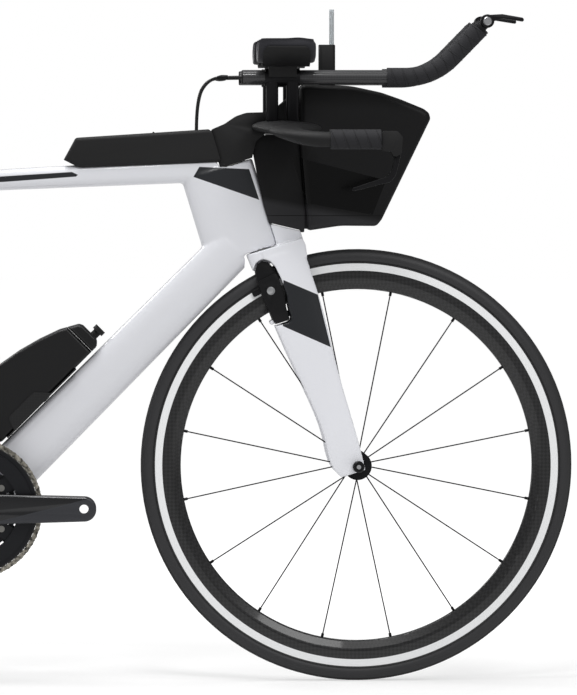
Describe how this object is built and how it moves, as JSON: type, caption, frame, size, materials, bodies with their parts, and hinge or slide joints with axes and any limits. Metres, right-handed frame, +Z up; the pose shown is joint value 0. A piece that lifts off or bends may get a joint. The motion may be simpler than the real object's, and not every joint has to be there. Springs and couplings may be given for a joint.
{
  "type": "time trial bicycle",
  "caption": "Time trial bicycle with aero frame and fork, base bar with aero extensions, arm pads, hydration bottle, storage box and a two-ring derailleur drivetrain.",
  "frame": {"origin": "on the ground, midway between the two axles, in the bicycle's middle plane", "axes": "+X forward (the way it rides), +Y to the rider's left, +Z up"},
  "size_m": [1.6687, 0.4204, 1.0437],
  "materials": {
    "white_paint": "gloss",
    "black_carbon": "satin",
    "black_plastic": "matte",
    "tyre_rubber": "matte",
    "rim_carbon": "satin",
    "spoke_steel": "satin",
    "black_alloy": "satin",
    "silver_alloy": "satin",
    "steel": "satin",
    "chain_steel": "satin",
    "bar_tape": "matte",
    "foam": "matte",
    "saddle_cover": "matte",
    "bottle_plastic": "satin",
    "straw_plastic": "satin",
    "cable_housing": "satin",
    "grey_alloy": "satin"
  },
  "bodies": {
    "frame": {"frame": "white_paint", "frame_bearings": "steel", "seatpost": "black_carbon", "saddle_rails": "steel", "saddle_shell": "black_plastic", "saddle_cover": "saddle_cover", "storage_box": "black_plastic", "bottle_cage": "black_carbon", "rear_axle": "steel", "rear_brake_mount": "black_alloy", "fd_mount": "black_alloy", "rd_knuckle": "black_alloy", "shift_cables": "cable_housing", "chain": "chain_steel"},
    "steering": {"fork": "white_paint", "hydration_bottle": "black_plastic", "base_bar": "black_carbon", "stem": "black_alloy", "stem_blade": "black_carbon", "lever_bodies": "black_plastic", "extensions": "black_carbon", "bar_tape": "bar_tape", "risers": "black_alloy", "pad_cups": "black_plastic", "arm_pads": "foam", "shifter_bodies": "black_alloy", "straw_holder": "black_plastic", "straw": "straw_plastic", "front_axle": "steel"},
    "front_wheel": {"front_tyre": "tyre_rubber", "front_rim": "rim_carbon", "front_spokes": "spoke_steel", "front_hub": "black_alloy"},
    "rear_wheel": {"rear_tyre": "tyre_rubber", "rear_rim": "rim_carbon", "rear_spokes": "spoke_steel", "rear_hub": "black_alloy"},
    "crank": {"crank_right": "grey_alloy", "crank_left": "grey_alloy", "chainrings": "grey_alloy", "chainring_bolts": "silver_alloy"},
    "cassette": {"cassette": "steel"},
    "rd_carrier": {"rd_carrier": "black_alloy"},
    "rd_cage": {"rd_cage": "black_alloy"},
    "guide_pulley": {"guide_pulley": "black_plastic"},
    "tension_pulley": {"tension_pulley": "black_plastic"},
    "fd_cage": {"fd_cage": "steel"},
    "brake_lever_left": {"brake_lever_left": "black_alloy"},
    "brake_lever_right": {"brake_lever_right": "black_alloy"},
    "shift_lever_left": {"shift_lever_left": "black_alloy"},
    "shift_lever_right": {"shift_lever_right": "black_alloy"},
    "front_qr_lever": {"front_qr_lever": "black_alloy"},
    "rear_qr_lever": {"rear_qr_lever": "black_alloy"},
    "front_brake_arm_left": {"front_brake_arm_left": "black_alloy"},
    "front_brake_arm_right": {"front_brake_arm_right": "black_alloy"},
    "rear_brake_arm_left": {"rear_brake_arm_left": "black_alloy"},
    "rear_brake_arm_right": {"rear_brake_arm_right": "black_alloy"},
    "storage_lid": {"storage_lid": "black_plastic"},
    "bottle": {"bottle": "bottle_plastic"},
    "bottle_spout": {"bottle_spout": "black_plastic"}
  },
  "joints": [
    {"name": "steering_turn", "type": "hinge", "parent": "frame", "child": "steering", "pos_m": [0.45542, 0, 0.32284], "axis": [-0.2924, 0, 0.9563], "range_deg": [-30, 30], "deforming": ["shift_cables"]},
    {"name": "front_wheel_spin", "type": "hinge", "parent": "steering", "child": "front_wheel", "pos_m": [0.49846, 0, 0.336], "axis": [0, 1, 0], "continuous": true},
    {"name": "rear_wheel_spin", "type": "hinge", "parent": "frame", "child": "rear_wheel", "pos_m": [-0.49846, 0, 0.336], "axis": [0, 1, 0], "continuous": true},
    {"name": "crank_spin", "type": "hinge", "parent": "frame", "child": "crank", "pos_m": [-0.09854, 0, 0.272], "axis": [0, 1, 0], "continuous": true, "deforming": ["chain"]},
    {"name": "cassette_spin", "type": "hinge", "parent": "frame", "child": "cassette", "pos_m": [-0.49846, 0, 0.336], "axis": [0, 1, 0], "continuous": true, "deforming": ["chain"]},
    {"name": "derailleur_shift", "type": "slide", "parent": "frame", "child": "rd_carrier", "axis": [0, 1, 0], "range_m": [-0.0112, 0.0262], "deforming": ["chain"]},
    {"name": "derailleur_cage_swing", "type": "hinge", "parent": "rd_carrier", "child": "rd_cage", "pos_m": [-0.49046, 0, 0.246], "axis": [0, 1, 0], "range_deg": [-25, 25], "deforming": ["chain"]},
    {"name": "guide_pulley_spin", "type": "hinge", "parent": "rd_cage", "child": "guide_pulley", "pos_m": [-0.49046, 0, 0.246], "axis": [0, 1, 0], "continuous": true, "deforming": ["chain"]},
    {"name": "tension_pulley_spin", "type": "hinge", "parent": "rd_cage", "child": "tension_pulley", "pos_m": [-0.46862, 0, 0.19443], "axis": [0, 1, 0], "continuous": true, "deforming": ["chain"]},
    {"name": "front_derailleur_swing", "type": "hinge", "parent": "frame", "child": "fd_cage", "pos_m": [-0.12294, -0.03558, 0.41034], "axis": [1, 0, 0], "range_deg": [0, 7], "stiffness_Nm_per_rad": 0.5, "deforming": ["chain"]},
    {"name": "brake_lever_left_pull", "type": "hinge", "parent": "steering", "child": "brake_lever_left", "pos_m": [0.54587, 0, 0.82292], "axis": [0, 1, 0], "range_deg": [0, 20], "stiffness_Nm_per_rad": 1.5},
    {"name": "brake_lever_right_pull", "type": "hinge", "parent": "steering", "child": "brake_lever_right", "pos_m": [0.54587, 0, 0.82292], "axis": [0, 1, 0], "range_deg": [0, 20], "stiffness_Nm_per_rad": 1.5},
    {"name": "shift_lever_left_turn", "type": "hinge", "parent": "steering", "child": "shift_lever_left", "pos_m": [0.69683, 0.062, 1.02447], "axis": [0, 1, 0], "range_deg": [-30, 30]},
    {"name": "shift_lever_right_turn", "type": "hinge", "parent": "steering", "child": "shift_lever_right", "pos_m": [0.69683, -0.062, 1.02447], "axis": [0, 1, 0], "range_deg": [-30, 30]},
    {"name": "front_qr_turn", "type": "hinge", "parent": "steering", "child": "front_qr_lever", "pos_m": [0.49846, 0.076, 0.336], "axis": [-0.9563, 0, -0.2924], "range_deg": [0, 150]},
    {"name": "rear_qr_turn", "type": "hinge", "parent": "frame", "child": "rear_qr_lever", "pos_m": [-0.49846, 0.0874, 0.336], "axis": [0, 0, 1], "range_deg": [0, 150]},
    {"name": "front_brake_left_close", "type": "hinge", "parent": "steering", "child": "front_brake_arm_left", "pos_m": [0.38334, 0.0226, 0.56689], "axis": [0.8949, 0, 0.4462], "range_deg": [-0.2, 2.2]},
    {"name": "front_brake_right_close", "type": "hinge", "parent": "steering", "child": "front_brake_arm_right", "pos_m": [0.38334, -0.0226, 0.56689], "axis": [-0.8949, 0, -0.4462], "range_deg": [-0.2, 2.2]},
    {"name": "rear_brake_left_close", "type": "hinge", "parent": "frame", "child": "rear_brake_arm_left", "pos_m": [-0.25308, 0.0226, 0.25627], "axis": [-0.309, 0, -0.9511], "range_deg": [-0.2, 2.2]},
    {"name": "rear_brake_right_close", "type": "hinge", "parent": "frame", "child": "rear_brake_arm_right", "pos_m": [-0.25308, -0.0226, 0.25627], "axis": [0.309, 0, 0.9511], "range_deg": [-0.2, 2.2]},
    {"name": "storage_lid_open", "type": "hinge", "parent": "frame", "child": "storage_lid", "pos_m": [0.07568, 0, 0.84419], "axis": [0, -1, 0], "range_deg": [0, 100]},
    {"name": "bottle_out", "type": "slide", "parent": "frame", "child": "bottle", "axis": [0, 0, 1], "range_m": [0, 0.06]},
    {"name": "spout_open", "type": "slide", "parent": "bottle", "child": "bottle_spout", "axis": [0.7065, 0, 0.7077], "range_m": [0, 0.005]}
  ],
  "couplings": [
    {"joint": "cassette_spin", "follows": "crank_spin", "ratio": 3.7143},
    {"joint": "tension_pulley_spin", "follows": "crank_spin", "ratio": 4.7273},
    {"joint": "guide_pulley_spin", "follows": "crank_spin", "ratio": -4.7273},
    {"joint": "front_brake_left_close", "follows": "brake_lever_left_pull", "ratio": 0.11},
    {"joint": "front_brake_right_close", "follows": "brake_lever_left_pull", "ratio": 0.11},
    {"joint": "rear_brake_left_close", "follows": "brake_lever_right_pull", "ratio": 0.11},
    {"joint": "rear_brake_right_close", "follows": "brake_lever_right_pull", "ratio": 0.11}
  ]
}
